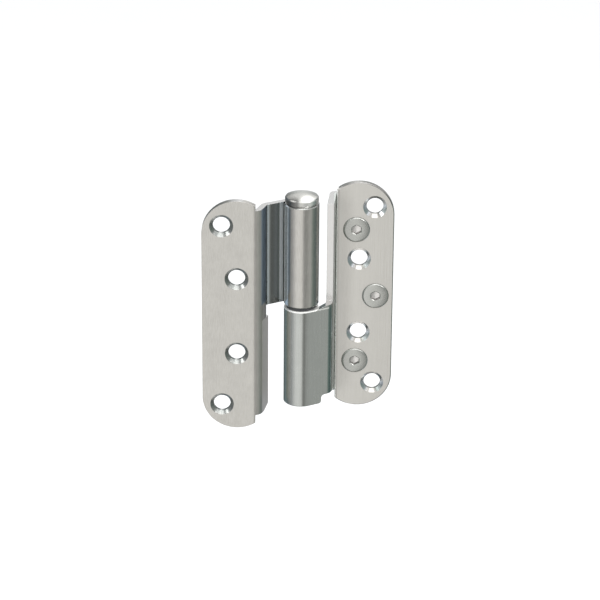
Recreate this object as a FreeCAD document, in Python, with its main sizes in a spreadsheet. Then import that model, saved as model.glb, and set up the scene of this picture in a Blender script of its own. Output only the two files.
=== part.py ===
import FreeCAD, Part
import math
import os
import Sketcher
from FreeCAD import Placement, Rotation, Vector

# A cranked lift-off door hinge with an adjustable frame side, opened flat.
# The origin is on the pin's axis at the middle of the plates' height. +Z runs up the pin, +X points
# to the frame side and -Y is the side that the countersinks face.

# Driving dimensions in millimetres and degrees
SIZES = [
    ("sheet", 3.0, "thickness of both folded leaves"),
    ("plate_height", 110.0, "height of the door plate and of the face plate"),
    ("knuckle_bore", 9.6, "inside diameter of both rolled knuckles"),
    ("arm_angle", 29.4, "angle of the flat arms to the plates, seen along the pin"),
    ("roll_turn", 304.0, "how far round the pin each knuckle is rolled"),
    ("edge_break", 0.4, "broken edge round the knuckles' outer ends and the cap's rim"),
    ("door_plate_front", 11.1, "pin axis to the front face of the door plate"),
    ("door_outer_edge", 44.1, "pin axis to the outer edge of the door plate"),
    ("door_end_radius", 15.5, "rounded ends of the door plate"),
    ("door_plate_inner", 20.3, "pin axis to where the door plate's ends stop"),
    ("door_fold", 19.2, "pin axis to the fold between door plate and flange"),
    ("door_flange_angle", 71.0, "angle of the door flange to its plate"),
    ("door_fold_radius", 1.6, "inside radius of the door leaf's folds"),
    ("door_arm_bottom", 2.5, "height of the door arm's and knuckle's lower edge"),
    ("door_arm_drop", 4.5, "door plate's upper end down to its arm's and knuckle's upper edge"),
    ("door_flange_rise", 6.2, "door plate's lower end up to its flange's lower edge"),
    ("door_stub", 2.6, "width of the flange's straight lower part past the fold"),
    ("door_relief", 5.8, "height of the relief between arm and straight flange"),
    ("flange_corner", 1.8, "cut corner at the foot of the straight flange"),
    ("face_front", 14.1, "pin axis back to the front of the face plate"),
    ("face_thickness", 3.0, "thickness of the face plate"),
    ("face_outer_edge", 41.4, "pin axis to the outer edge of the face plate"),
    ("face_inner_edge", 15.45, "pin axis to the straight inner edge of the face plate"),
    ("face_end_radius", 15.8, "rounded ends of the face plate"),
    ("face_bevel", 0.4, "bevel round the face plate"),
    ("frame_fold", 13.9, "pin axis to the fold between the rear plate and its flange"),
    ("frame_flange_angle", 85.7, "angle of the frame flange to its plate"),
    ("frame_rear_fold_radius", 0.4, "inside radius of the fold at the rear plate"),
    ("frame_front_fold_radius", 1.2, "inside radius of the fold at the frame arm"),
    ("frame_outer_edge", 38.5, "pin axis to the outer edge of the rear plate"),
    ("frame_inset", 6.4, "face plate's end to the rear plate's end, above and below"),
    ("frame_corner_cut", 18.5, "45 degree corner cuts that clear the outer screw holes"),
    ("frame_flange_front", 3.6, "how far behind the axis the upper flange is cut off"),
    ("frame_arm_top", 0.9, "height of the lower knuckle's upper edge"),
    ("frame_arm_rise", 1.2, "rise of the arm's upper edge from the knuckle to the fold"),
    ("knuckle_rise", 9.0, "face plate's lower end up to the lower knuckle's lower edge"),
    ("frame_step", 4.3, "step up of the arm's lower edge beside the knuckle"),
    ("frame_step_start", 7.9, "pin axis to the start of that step"),
    ("frame_step_width", 3.1, "width of that step"),
    ("frame_flange_fall", 2.6, "fall of the flange's lower edge towards its plate"),
    ("screw_hole", 7.6, "diameter of the countersunk wood screw holes"),
    ("screw_sink", 10.6, "outer diameter of those countersinks"),
    ("sink_angle", 90.0, "countersink angle"),
    ("outer_hole_inset", 11.7, "plate's end to each of the outer pair of holes"),
    ("inner_hole_inset", 36.9, "plate's end to each of the inner pair of holes"),
    ("outer_hole_edge", 8.8, "outer edge to the outer pair of holes"),
    ("inner_hole_edge", 15.5, "outer edge to the inner pair of holes"),
    ("clearance_hole", 12.0, "holes in the rear plate behind the inner pair"),
    ("clamp_inset", 22.7, "plate's end to the upper and to the lower clamp screw"),
    ("clamp_pair_edge", 16.9, "outer edge of the face plate to that pair"),
    ("clamp_middle_edge", 7.9, "outer edge of the face plate to the middle clamp screw"),
    ("clamp_shank", 5.9, "diameter of the clamp screws' shank"),
    ("clamp_head", 11.8, "diameter of the clamp screws' head"),
    ("clamp_land", 0.6, "height of the head's rim"),
    ("clamp_bevel", 0.7, "width of the slope round the head's face"),
    ("clamp_proud", 0.5, "how far the heads stand proud of the face plate"),
    ("clamp_length", 8.0, "overall length of a clamp screw"),
    ("clamp_socket", 4.0, "hexagon socket across its flats"),
    ("clamp_socket_depth", 2.3, "depth of the hexagon socket"),
    ("clamp_play", 0.05, "radial room round a clamp screw"),
    ("pin_upper", 8.0, "diameter of the pin's upper half, which carries the bush"),
    ("pin_drop", 7.0, "upper knuckle's upper edge down to the pin's upper end"),
    ("pin_nose", 1.2, "chamfer that leads the pin into the bush"),
    ("pin_play", 0.05, "radial room of the pin and the bush"),
    ("bush_flange", 13.2, "diameter of the bush's flange between the knuckles"),
    ("bush_drop", 3.5, "pin's upper end down to the bush's upper end"),
    ("seat_gap", 0.05, "room over the bush's flange"),
    ("cap_rim", 15.0, "diameter of the domed cap"),
    ("cap_neck", 12.4, "diameter of the neck under the cap's rim"),
    ("cap_neck_height", 1.0, "height of that neck"),
    ("cap_rim_height", 2.1, "height of the cap's straight rim"),
    ("cap_dome", 1.7, "rise of the dome over its rim"),
    ("cap_undercut", 0.35, "slope under the cap's rim"),
    ("cap_plug_depth", 5.5, "how deep the cap's plug sits in the knuckle"),
]

doc = FreeCAD.newDocument("DoorHinge")
sheet = doc.addObject("Spreadsheet::Sheet", "Sizes")
for row, (alias, value, note) in enumerate(SIZES, start=1):
    sheet.set(f"A{row}", alias)
    sheet.set(f"B{row}", str(value))
    sheet.set(f"C{row}", note)
    sheet.setAlias(f"B{row}", alias)
doc.recompute()


def size(alias):
    """The number in the sheet's cell of that name."""
    return float(sheet.get(alias))


# Lines and arcs of an outline, each with its two ends in the order they are walked


def line(start, end):
    return {"start": start, "end": end}


def arc(centre, start, end, left, radius=None):
    """An arc about centre; left is True where it is walked counterclockwise."""
    return {"start": start, "end": end, "centre": centre, "left": left, "radius": radius}


def walked_back(edge):
    back = dict(edge, start=edge["end"], end=edge["start"])
    if "centre" in edge:
        back["left"] = not edge["left"]
    return back


def rounded(corners):
    """A closed outline through corners (x, y) or (x, y, rounding radius)."""
    ends = []
    for i, corner in enumerate(corners):
        here = Vector(corner[0], corner[1], 0)
        radius = corner[2] if len(corner) > 2 else 0.0
        before, after = corners[i - 1], corners[(i + 1) % len(corners)]
        back = (Vector(before[0], before[1], 0) - here).normalize()
        on = (Vector(after[0], after[1], 0) - here).normalize()
        half = back.getAngle(on) / 2
        reach = radius / math.tan(half)
        ends.append((here, back, on, radius, reach, half))
    edges = []
    for i, (here, back, on, radius, reach, half) in enumerate(ends):
        following = ends[(i + 1) % len(ends)]
        if radius:
            centre = here + (back + on).normalize() * (radius / math.sin(half))
            left = back.cross(on).z < 0
            edges.append(arc(centre, here + back * reach, here + on * reach, left))
        stop = following[0] + following[1] * following[4]
        if (stop - here - on * reach).Length > 1e-6:
            edges.append(line(here + on * reach, stop))
    return edges


def add_loop(sketch, edges):
    """Draws a closed loop, joins its ends and ties each named radius to its cell."""
    ends = []
    for edge in edges:
        if "centre" not in edge:
            index = sketch.addGeometry(Part.LineSegment(edge["start"], edge["end"]))
            ends.append((index, 1, 2))
            continue
        first, last = edge["start"], edge["end"]
        if not edge["left"]:
            first, last = last, first
        centre = edge["centre"]
        a = math.atan2(first.y - centre.y, first.x - centre.x)
        b = math.atan2(last.y - centre.y, last.x - centre.x)
        if b <= a:
            b += 2 * math.pi
        circle = Part.Circle(centre, Vector(0, 0, 1), (first - centre).Length)
        index = sketch.addGeometry(Part.ArcOfCircle(circle, a, b))
        ends.append((index, 1, 2) if edge["left"] else (index, 2, 1))
        if edge["radius"]:
            tie = sketch.addConstraint(Sketcher.Constraint("Radius", index, circle.Radius))
            sketch.setExpression(f"Constraints[{tie}]", edge["radius"])
    for (one, _, one_end), (two, two_start, _) in zip(ends, ends[1:] + ends[:1]):
        sketch.addConstraint(Sketcher.Constraint("Coincident", one, one_end, two, two_start))


# Bodies, sketches and features


def new_body(name):
    body = doc.addObject("PartDesign::Body", name)
    body.Label = name
    return body


def sketch_on(body, name, plane, offset="0"):
    """A sketch on one of the body's origin planes, moved along its normal by an expression."""
    sketch = body.newObject("Sketcher::SketchObject", name)
    role = next(f for f in body.Origin.OriginFeatures if f.Role == plane)
    sketch.AttachmentSupport = [(role, "")]
    sketch.MapMode = "FlatFace"
    sketch.setExpression("AttachmentOffset.Base.z", offset)
    return sketch


def pad(body, name, sketch, length):
    feature = body.newObject("PartDesign::Pad", name)
    feature.Profile = sketch
    feature.setExpression("Length", length)
    doc.recompute()
    return feature


def cut_through(body, name, sketch, side="Symmetric", reversed_=False):
    """A pocket through the whole body, which has to take something away."""
    before = body.Shape.Volume
    feature = body.newObject("PartDesign::Pocket", name)
    feature.Profile = sketch
    feature.Type = "ThroughAll"
    feature.SideType = side
    feature.Reversed = reversed_
    doc.recompute()
    if body.Shape.Volume >= before - 0.01:
        raise RuntimeError(f"{name} takes nothing away")
    return feature


def turned(body, name, corners):
    """A solid turned about the Z axis from corners (radius, height) or (radius, height, rounding)."""
    sketch = sketch_on(body, name + "_profile", "XZ_Plane")
    add_loop(sketch, rounded(corners))
    feature = body.newObject("PartDesign::Revolution", name)
    feature.Profile = sketch
    feature.ReferenceAxis = (sketch, ["V_Axis"])
    feature.Angle = 360.0
    doc.recompute()
    return feature


def hole_sketch(body, name, front, places, diameter):
    """Circles in a plane parallel to the plates, each place a pair of expressions (x, z)."""
    sketch = sketch_on(body, name, "XZ_Plane", front)
    for x, z in places:
        circle = Part.Circle(Vector(0, 0, 0), Vector(0, 0, 1), 1.0)
        index = sketch.addGeometry(circle)
        across = sketch.addConstraint(Sketcher.Constraint("Diameter", index, 2.0))
        sketch.setExpression(f"Constraints[{across}]", diameter)
        for kind, place in (("DistanceX", x), ("DistanceY", z)):
            tie = sketch.addConstraint(Sketcher.Constraint(kind, -1, 1, index, 3, 1.0))
            sketch.setExpression(f"Constraints[{tie}]", place)
    doc.recompute()
    return sketch


def countersunk(body, name, sketch, diameter, sink):
    """Countersunk holes drilled back from the sketch's plane."""
    before = body.Shape.Volume
    hole = body.newObject("PartDesign::Hole", name)
    hole.Profile = sketch
    doc.recompute()
    hole.DepthType = "ThroughAll"
    hole.HoleCutType = "Countersink"
    hole.HoleCutCustomValues = True
    hole.setExpression("Diameter", diameter)
    hole.setExpression("HoleCutDiameter", sink)
    hole.setExpression("HoleCutCountersinkAngle", "Sizes.sink_angle")
    doc.recompute()
    if body.Shape.Volume >= before - 0.01:
        raise RuntimeError(f"{name} takes nothing away")
    return hole


def end_edges(body, radius, height):
    """Names of the arc edges of that radius about the pin's axis at that height."""
    names = []
    for number, edge in enumerate(body.Shape.Edges, start=1):
        if edge.Degenerated or not isinstance(edge.Curve, Part.Circle):
            continue
        curve = edge.Curve
        if abs(curve.Radius - radius) > 0.01:
            continue
        if abs(curve.Center.z - height) < 0.01 and math.hypot(curve.Center.x, curve.Center.y) < 0.01:
            names.append(f"Edge{number}")
    if not names:
        raise RuntimeError(f"{body.Label} has no edge at height {height}")
    return names


def break_ends(body, name, radius, heights):
    """Breaks a round piece's outer edges at the given heights."""
    base = body.Tip
    names = [n for height in heights for n in end_edges(body, radius, height)]
    feature = body.newObject("PartDesign::Chamfer", name)
    feature.Base = (base, names)
    feature.setExpression("Size", "Sizes.edge_break")
    doc.recompute()
    return feature


# The fold line of a leaf, seen along the pin


def direction(angle):
    return Vector(math.cos(math.radians(angle)), math.sin(math.radians(angle)), 0)


def meeting(point, angle, other, other_angle):
    """Where two lines, each given by a point and an angle, cross."""
    along, across = direction(angle), direction(other_angle)
    reach = (other - point).cross(across).z / along.cross(across).z
    return point + along * reach


def folded(corners, fold_radii, roll=0.0):
    """Outline of a sheet whose middle runs through the corners, with its folds rounded.

    fold_radii names the inside radius of each fold. roll, in degrees clockwise, curls the end round the pin.
    """
    half = size("sheet") / 2
    left, right = [], []
    spot = corners[0]
    for i in range(1, len(corners)):
        ahead = (corners[i] - corners[i - 1]).normalize()
        side = Vector(-ahead.y, ahead.x, 0) * half
        turn = 0.0
        if i < len(corners) - 1:
            onward = (corners[i + 1] - corners[i]).normalize()
            turn = math.copysign(ahead.getAngle(onward), ahead.cross(onward).z)
            inside = size(fold_radii[i - 1])
            setback = (inside + half) * math.tan(abs(turn) / 2)
            stop = corners[i] - ahead * setback
        else:
            stop = corners[i]
        left.append(line(spot + side, stop + side))
        right.append(line(spot - side, stop - side))
        spot = stop
        if turn:
            hand = math.copysign(1.0, turn)
            centre = stop + Vector(-ahead.y, ahead.x, 0) * (hand * (inside + half))
            spot = corners[i] + onward * setback
            new_side = Vector(-onward.y, onward.x, 0) * half
            inner = f"Sizes.{fold_radii[i - 1]}"
            outer = f"Sizes.{fold_radii[i - 1]} + Sizes.sheet"
            names = (inner, outer) if turn > 0 else (outer, inner)
            left.append(arc(centre, stop + side, spot + new_side, turn > 0, names[0]))
            right.append(arc(centre, stop - side, spot - new_side, turn > 0, names[1]))
    if roll:
        centre = Vector(0, 0, 0)
        turner = Rotation(Vector(0, 0, 1), -roll)
        outer = "Sizes.knuckle_bore / 2 + Sizes.sheet"
        left.append(arc(centre, spot + side, turner.multVec(spot + side), False, outer))
        right.append(arc(centre, spot - side, turner.multVec(spot - side), False, "Sizes.knuckle_bore / 2"))
    loop = list(left)
    loop.append(line(left[-1]["end"], right[-1]["end"]))
    loop.extend(walked_back(edge) for edge in reversed(right))
    loop.append(line(right[0]["start"], left[0]["start"]))
    return loop


def knuckle_start(behind):
    """Middle of the sheet where a flat arm runs into its knuckle, behind the pin or in front of it."""
    middle = size("knuckle_bore") / 2 + size("sheet") / 2
    point = direction(size("arm_angle") + 90) * middle
    return point if behind else point * -1


# Door leaf: plate, flange, arm and upper knuckle folded from one sheet
SHEET = size("sheet")
KNUCKLE_RADIUS = size("knuckle_bore") / 2 + SHEET
HALF_PLATE = size("plate_height") / 2
DOOR_ARM_TOP = HALF_PLATE - size("door_arm_drop")
DOOR_FOOT = size("door_flange_rise") - HALF_PLATE
KNUCKLE_FOOT = size("knuckle_rise") - HALF_PLATE
FRAME_TOP = HALF_PLATE - size("frame_inset")
BEYOND = 10.0  # how far the cutting outlines reach past the metal
# Heights of the holes above and below the middle, which follow the plates' ends
OUTER_HOLE = "Sizes.plate_height / 2 - Sizes.outer_hole_inset"
INNER_HOLE = "Sizes.plate_height / 2 - Sizes.inner_hole_inset"
CLAMP_HOLE = "Sizes.plate_height / 2 - Sizes.clamp_inset"

door_leaf = new_body("door_leaf")
door_plate_middle = -size("door_plate_front") + SHEET / 2
door_start = Vector(-size("door_outer_edge"), door_plate_middle, 0)
door_corner = Vector(-size("door_fold"), door_plate_middle, 0)
door_rolled = knuckle_start(behind=True)
door_second = meeting(door_corner, size("door_flange_angle"), door_rolled, size("arm_angle"))
door_fold_middle = size("door_fold_radius") + SHEET / 2
door_second_turn = math.radians(size("door_flange_angle") - size("arm_angle"))
door_flange_way = direction(size("door_flange_angle"))
door_flange_end = door_second - door_flange_way * (door_fold_middle * math.tan(door_second_turn / 2))
door_flange_half = (door_corner + door_flange_end) / 2

door_plate_section = sketch_on(door_leaf, "door_plate_section", "XY_Plane", "-Sizes.plate_height / 2")
add_loop(door_plate_section, folded([door_start, door_corner, door_flange_end], ["door_fold_radius"]))
pad(door_leaf, "door_plate", door_plate_section, "Sizes.plate_height")

door_arm_section = sketch_on(door_leaf, "door_arm_section", "XY_Plane", "Sizes.door_arm_bottom")
door_arm_corners = [door_flange_half, door_second, door_rolled]
add_loop(door_arm_section, folded(door_arm_corners, ["door_fold_radius"], size("roll_turn")))
door_arm_height = "Sizes.plate_height / 2 - Sizes.door_arm_drop - Sizes.door_arm_bottom"
pad(door_leaf, "door_arm", door_arm_section, door_arm_height)

door_foot_depth = "Sizes.door_flange_rise - Sizes.plate_height / 2"
door_stub_section = sketch_on(door_leaf, "door_stub_section", "XY_Plane", door_foot_depth)
door_stub_end = door_flange_end + door_flange_way * size("door_stub")
add_loop(door_stub_section, folded([door_flange_half, door_stub_end], []))
door_stub_height = "Sizes.plate_height / 2 - Sizes.door_flange_rise + Sizes.door_arm_bottom - Sizes.door_relief"
pad(door_leaf, "door_stub", door_stub_section, door_stub_height)


def plate_end(outer, radius, inner, half_height, shoulder, far, up):
    """Outline to cut away over a plate's rounded end, mirrored for the lower end where up is -1.

    outer and inner are where the plate starts and stops along X; shoulder is the height of what lies past it.
    """
    way = math.copysign(1.0, inner - outer)
    centre = Vector(outer + way * radius, up * (half_height - radius), 0)
    top = up * (half_height + BEYOND)
    drop = math.sqrt(radius**2 - (inner - centre.x) ** 2)
    start = Vector(outer, centre.y, 0)
    stop = Vector(inner, centre.y + up * drop, 0)
    points = [
        stop,
        Vector(inner, shoulder, 0),
        Vector(far, shoulder, 0),
        Vector(far, top, 0),
        Vector(outer - way * BEYOND, top, 0),
        Vector(outer - way * BEYOND, centre.y, 0),
        start,
    ]
    edges = [line(a, b) for a, b in zip(points, points[1:])]
    return [arc(centre, start, stop, way * up < 0)] + edges


door_ends = sketch_on(door_leaf, "door_ends", "XZ_Plane")
door_end_sizes = (-size("door_outer_edge"), size("door_end_radius"), -size("door_plate_inner"), HALF_PLATE)
door_far = KNUCKLE_RADIUS + BEYOND
add_loop(door_ends, plate_end(*door_end_sizes, DOOR_ARM_TOP, door_far, 1))
add_loop(door_ends, plate_end(*door_end_sizes, DOOR_FOOT, door_far, -1))
cut_through(door_leaf, "door_end_cuts", door_ends)

door_foot = sketch_on(door_leaf, "door_foot", "YZ_Plane", "-Sizes.door_plate_inner - 5")
corner = size("flange_corner")
add_loop(
    door_foot,
    rounded(
        [
            (door_stub_end.y - 3.0 * corner, DOOR_FOOT - 1.0),
            (door_stub_end.y - 3.0 * corner, DOOR_FOOT),
            (door_stub_end.y + 1.0, DOOR_FOOT + 1.3 * corner),
            (door_stub_end.y + 1.0, DOOR_FOOT - 1.0),
        ]
    ),
)
cut_through(door_leaf, "door_foot_cut", door_foot, "One side", True)

door_holes = hole_sketch(
    door_leaf,
    "door_holes",
    "Sizes.door_plate_front",
    [
        ("-Sizes.door_outer_edge + Sizes.outer_hole_edge", OUTER_HOLE),
        ("-Sizes.door_outer_edge + Sizes.outer_hole_edge", f"-({OUTER_HOLE})"),
        ("-Sizes.door_outer_edge + Sizes.inner_hole_edge", INNER_HOLE),
        ("-Sizes.door_outer_edge + Sizes.inner_hole_edge", f"-({INNER_HOLE})"),
    ],
    "Sizes.screw_hole",
)
countersunk(door_leaf, "door_screw_holes", door_holes, "Sizes.screw_hole", "Sizes.screw_sink")
break_ends(door_leaf, "door_knuckle_ends", KNUCKLE_RADIUS, [size("door_arm_bottom"), DOOR_ARM_TOP])

# Frame leaf: rear plate, flange, arm and lower knuckle folded from one sheet, the other way about
frame_leaf = new_body("frame_leaf")
face_back = size("face_front") + size("face_thickness")
frame_plate_middle = face_back + SHEET / 2
frame_start = Vector(size("frame_outer_edge"), frame_plate_middle, 0)
frame_corner = Vector(size("frame_fold"), frame_plate_middle, 0)
frame_rolled = knuckle_start(behind=False)
frame_flange_heading = 180 + size("frame_flange_angle")
frame_flange_way = direction(frame_flange_heading)
frame_second = meeting(frame_corner, frame_flange_heading, frame_rolled, size("arm_angle"))
flange_cut_reach = (frame_plate_middle - size("frame_flange_front")) / -frame_flange_way.y
frame_flange_end = frame_corner + frame_flange_way * flange_cut_reach
frame_flange_half = (frame_corner + frame_flange_end) / 2

knuckle_depth = "Sizes.knuckle_rise - Sizes.plate_height / 2"
frame_arm_section = sketch_on(frame_leaf, "frame_arm_section", "XY_Plane", knuckle_depth)
frame_arm_corners = [frame_flange_half, frame_second, frame_rolled]
add_loop(
    frame_arm_section, folded(frame_arm_corners, ["frame_front_fold_radius"], size("roll_turn"))
)
frame_arm_height = "Sizes.plate_height / 2 - Sizes.knuckle_rise + Sizes.frame_arm_top + Sizes.frame_arm_rise"
pad(frame_leaf, "frame_arm", frame_arm_section, frame_arm_height)
break_ends(frame_leaf, "frame_knuckle_foot", KNUCKLE_RADIUS, [KNUCKLE_FOOT])

frame_foot_depth = "Sizes.frame_inset - Sizes.plate_height / 2"
frame_plate_section = sketch_on(frame_leaf, "frame_plate_section", "XY_Plane", frame_foot_depth)
frame_plate_corners = [frame_start, frame_corner, frame_flange_end]
add_loop(frame_plate_section, folded(frame_plate_corners, ["frame_rear_fold_radius"]))
pad(frame_leaf, "frame_plate", frame_plate_section, "Sizes.plate_height - 2 * Sizes.frame_inset")

# Corner cuts of the rear plate, which leave the face plate's outer screw holes free
frame_outline = sketch_on(frame_leaf, "frame_outline", "XZ_Plane")
cut = size("frame_corner_cut")
for up in (1, -1):
    top = up * FRAME_TOP
    edge = size("frame_outer_edge")
    add_loop(
        frame_outline,
        rounded(
            [
                (edge - cut, top),
                (edge, top - up * cut),
                (edge + BEYOND, top - up * cut),
                (edge + BEYOND, top + up * BEYOND),
                (edge - cut, top + up * BEYOND),
            ]
        ),
    )
# Upper edge of the arm, which falls to the knuckle, and the step beside the knuckle's lower edge
arm_top = size("frame_arm_top")
arm_rise = size("frame_arm_rise")
rise_end = frame_second.x - SHEET / 2
add_loop(
    frame_outline,
    rounded(
        [
            (-door_far, arm_top),
            (KNUCKLE_RADIUS, arm_top),
            (rise_end, arm_top + arm_rise),
            (rise_end, arm_top + arm_rise + 0.5),
            (-door_far, arm_top + arm_rise + 0.5),
        ]
    ),
)
step_start = size("frame_step_start")
step_end = step_start + size("frame_step_width")
step_top = KNUCKLE_FOOT + size("frame_step")
curl = size("frame_step_width") / 2
add_loop(
    frame_outline,
    rounded(
        [
            (step_start, KNUCKLE_FOOT),
            (step_start + curl, KNUCKLE_FOOT, curl),
            (step_start + curl, step_top, curl),
            (step_end, step_top),
            (step_end, KNUCKLE_FOOT - 1.0),
            (step_start, KNUCKLE_FOOT - 1.0),
        ]
    ),
)
cut_through(frame_leaf, "frame_outline_cuts", frame_outline)

# Lower edge of the flange, which falls from the step to the foot of the rear plate
flange_foot = sketch_on(frame_leaf, "flange_foot", "YZ_Plane", "Sizes.frame_step_start + Sizes.frame_step_width")
fall = size("frame_flange_fall")
add_loop(
    flange_foot,
    rounded(
        [
            (-KNUCKLE_RADIUS - BEYOND, step_top),
            (0.0, step_top),
            (face_back - 7.0, step_top - fall),
            (face_back - 1.0, -FRAME_TOP),
            (face_back - 1.0, -FRAME_TOP - BEYOND),
            (-KNUCKLE_RADIUS - BEYOND, -FRAME_TOP - BEYOND),
        ]
    ),
)
cut_through(frame_leaf, "flange_foot_cut", flange_foot, "One side", True)

inner_hole_x = "Sizes.face_outer_edge - Sizes.inner_hole_edge"
clearance_holes = hole_sketch(
    frame_leaf,
    "clearance_holes",
    "-Sizes.face_front",
    [(inner_hole_x, INNER_HOLE), (inner_hole_x, f"-({INNER_HOLE})")],
    "Sizes.clearance_hole",
)
cut_through(frame_leaf, "clearance_hole_cuts", clearance_holes, "One side")
CLAMP_PLACES = {
    "top": ("Sizes.face_outer_edge - Sizes.clamp_pair_edge", CLAMP_HOLE),
    "middle": ("Sizes.face_outer_edge - Sizes.clamp_middle_edge", "0"),
    "bottom": ("Sizes.face_outer_edge - Sizes.clamp_pair_edge", f"-({CLAMP_HOLE})"),
}
clamp_hole = "Sizes.clamp_shank + 2 * Sizes.clamp_play"
tapped_holes = hole_sketch(
    frame_leaf, "tapped_holes", "-Sizes.face_front", list(CLAMP_PLACES.values()), clamp_hole
)
cut_through(frame_leaf, "tapped_hole_cuts", tapped_holes, "One side")
break_ends(frame_leaf, "frame_knuckle_top", KNUCKLE_RADIUS, [arm_top])

# Face plate, which is screwed to the door frame over the rear plate
face_plate = new_body("face_plate")
face_outline = sketch_on(face_plate, "face_outline", "XZ_Plane", "-Sizes.face_front - Sizes.face_thickness")
face_outer, face_inner = size("face_outer_edge"), size("face_inner_edge")
face_radius = size("face_end_radius")
face_centre = Vector(face_outer - face_radius, HALF_PLATE - face_radius, 0)
face_drop = math.sqrt(face_radius**2 - (face_centre.x - face_inner) ** 2)
low_centre = Vector(face_centre.x, -face_centre.y, 0)
shoulder_top = Vector(face_inner, face_centre.y + face_drop, 0)
shoulder_low = Vector(face_inner, -shoulder_top.y, 0)
side_top = Vector(face_outer, face_centre.y, 0)
side_low = Vector(face_outer, -face_centre.y, 0)
add_loop(
    face_outline,
    [
        line(side_low, side_top),
        arc(face_centre, side_top, shoulder_top, True, "Sizes.face_end_radius"),
        line(shoulder_top, shoulder_low),
        arc(low_centre, shoulder_low, side_low, True, "Sizes.face_end_radius"),
    ],
)
face_pad = pad(face_plate, "face_pad", face_outline, "Sizes.face_thickness")
flat_faces = [
    f"Face{number}"
    for number, face in enumerate(face_pad.Shape.Faces, start=1)
    if abs(face.normalAt(0, 0).y) > 0.9
]
face_bevel = face_plate.newObject("PartDesign::Chamfer", "face_bevel")
face_bevel.Base = (face_pad, flat_faces)
face_bevel.setExpression("Size", "Sizes.face_bevel")
doc.recompute()
face_holes = hole_sketch(
    face_plate,
    "face_holes",
    "-Sizes.face_front",
    [
        ("Sizes.face_outer_edge - Sizes.outer_hole_edge", OUTER_HOLE),
        ("Sizes.face_outer_edge - Sizes.outer_hole_edge", f"-({OUTER_HOLE})"),
        (inner_hole_x, INNER_HOLE),
        (inner_hole_x, f"-({INNER_HOLE})"),
    ],
    "Sizes.screw_hole",
)
countersunk(face_plate, "face_screw_holes", face_holes, "Sizes.screw_hole", "Sizes.screw_sink")
clamp_through = "Sizes.clamp_shank + 6 * Sizes.clamp_play"
clamp_seat = "Sizes.clamp_head + 2 * (Sizes.clamp_land - Sizes.clamp_proud) + 2 * Sizes.clamp_play"
clamp_seats = hole_sketch(
    face_plate, "clamp_seats", "-Sizes.face_front", list(CLAMP_PLACES.values()), clamp_through
)
countersunk(face_plate, "clamp_seat_holes", clamp_seats, clamp_through, clamp_seat)


# Clamp screws: countersunk, hexagon socket, threaded into the rear plate
def clamp_screw(place):
    body = new_body("clamp_screw_" + place)
    head, shank = size("clamp_head") / 2, size("clamp_shank") / 2
    land, bevel, length = size("clamp_land"), size("clamp_bevel"), size("clamp_length")
    tip = shank / 5
    turned(
        body,
        f"screw_{place}_blank",
        [
            (0, 0),
            (head - bevel, 0),
            (head, -0.6 * bevel),
            (head, -land),
            (shank, -land - head + shank),
            (shank, -length + tip),
            (shank - tip, -length),
            (0, -length),
        ],
    )
    socket = sketch_on(body, f"screw_{place}_socket", "XY_Plane")
    reach = size("clamp_socket") / 2 / math.cos(math.pi / 6)
    corners = [direction(60 * i + 30) * reach for i in range(6)]
    add_loop(socket, rounded([(c.x, c.y) for c in corners]))
    before = body.Shape.Volume
    pocket = body.newObject("PartDesign::Pocket", f"screw_{place}_hexagon")
    pocket.Profile = socket
    pocket.setExpression("Length", "Sizes.clamp_socket_depth")
    doc.recompute()
    if body.Shape.Volume >= before - 0.01:
        raise RuntimeError("the hexagon socket takes nothing away")
    body.setExpression("Placement.Base.x", CLAMP_PLACES[place][0])
    body.setExpression("Placement.Base.y", "Sizes.face_front - Sizes.clamp_proud")
    body.setExpression("Placement.Base.z", CLAMP_PLACES[place][1])
    body.Placement = Placement(Vector(0, 0, 0), Rotation(Vector(1, 0, 0), 90))
    doc.recompute()
    return body


clamp_screws = [clamp_screw(place) for place in CLAMP_PLACES]

# Hinge pin: pressed into the lower knuckle, with a thinner upper half that carries the bush
play = size("pin_play")
pin_top = DOOR_ARM_TOP - size("pin_drop")
pin_lower = size("knuckle_bore") / 2 - play
pin_upper = size("pin_upper") / 2
nose = size("pin_nose")
hinge_pin = new_body("hinge_pin")
turned(
    hinge_pin,
    "pin_blank",
    [
        (0, KNUCKLE_FOOT),
        (pin_lower - nose / 2, KNUCKLE_FOOT),
        (pin_lower, KNUCKLE_FOOT + nose / 2),
        (pin_lower, arm_top - nose / 4),
        (pin_upper, arm_top - nose / 4),
        (pin_upper, pin_top - nose),
        (pin_upper - nose, pin_top),
        (0, pin_top),
    ],
)

# Bearing bush: sleeve between pin and upper knuckle, with a flange that the door leaf stands on
bearing_bush = new_body("bearing_bush")
bush_inner, bush_outer = pin_upper + play, size("knuckle_bore") / 2 - play
bush_flange = size("bush_flange") / 2
flange_top = size("door_arm_bottom") - size("seat_gap")
bush_top = pin_top - size("bush_drop")
turned(
    bearing_bush,
    "bush_blank",
    [
        (bush_inner, arm_top),
        (bush_flange, arm_top),
        (bush_flange, flange_top),
        (bush_outer, flange_top),
        (bush_outer, bush_top),
        (bush_inner, bush_top),
    ],
)

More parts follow.
